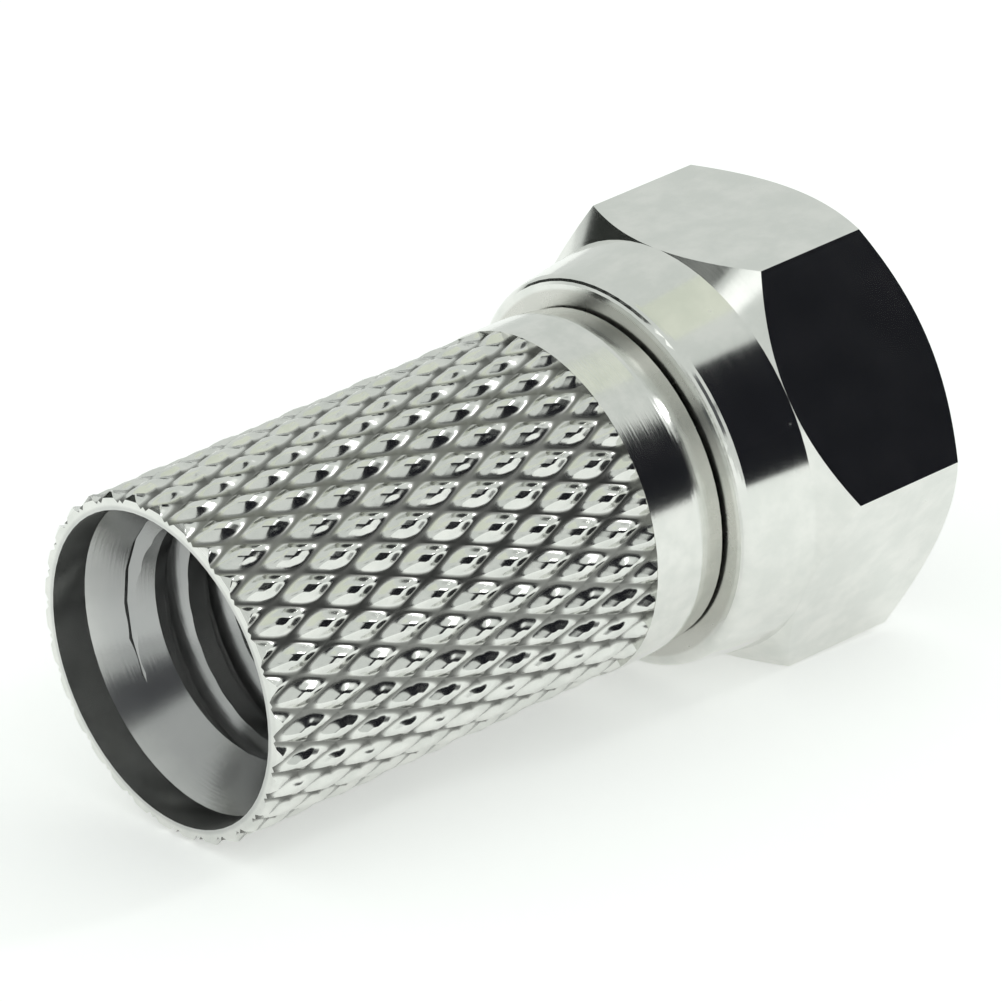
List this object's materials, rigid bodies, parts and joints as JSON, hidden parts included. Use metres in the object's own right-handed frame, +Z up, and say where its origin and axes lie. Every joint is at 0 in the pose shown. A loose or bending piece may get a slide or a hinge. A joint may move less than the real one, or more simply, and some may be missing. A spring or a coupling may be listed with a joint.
{
  "type": "coaxial f plug",
  "caption": "Twist-on F-type coaxial plug: diamond-knurled sleeve that screws onto the cable jacket, flanged ferrule, and a hexagon coupling nut that turns freely, all in bright nickel.",
  "frame": {"origin": "on the plug's axis, in the plane of the ferrule's front face, where the plug meets the jack", "axes": "+X along the axis out of the nut towards the jack, so the cable enters from -X; +Z up, with one flat of the nut down"},
  "size_m": [0.0215, 0.0128, 0.011],
  "materials": {
    "sleeve": "bright nickel plate over knurled metal",
    "ferrule": "bright nickel plate",
    "coupling_nut": "polished bright nickel plate"
  },
  "bodies": {
    "plug": {"sleeve": "sleeve", "ferrule": "ferrule"},
    "nut": {"coupling_nut": "coupling_nut"}
  },
  "joints": [
    {"name": "nut_spin", "type": "hinge", "parent": "plug", "child": "nut", "pos_m": [0, 0, 0], "axis": [1, 0, 0], "continuous": true}
  ]
}
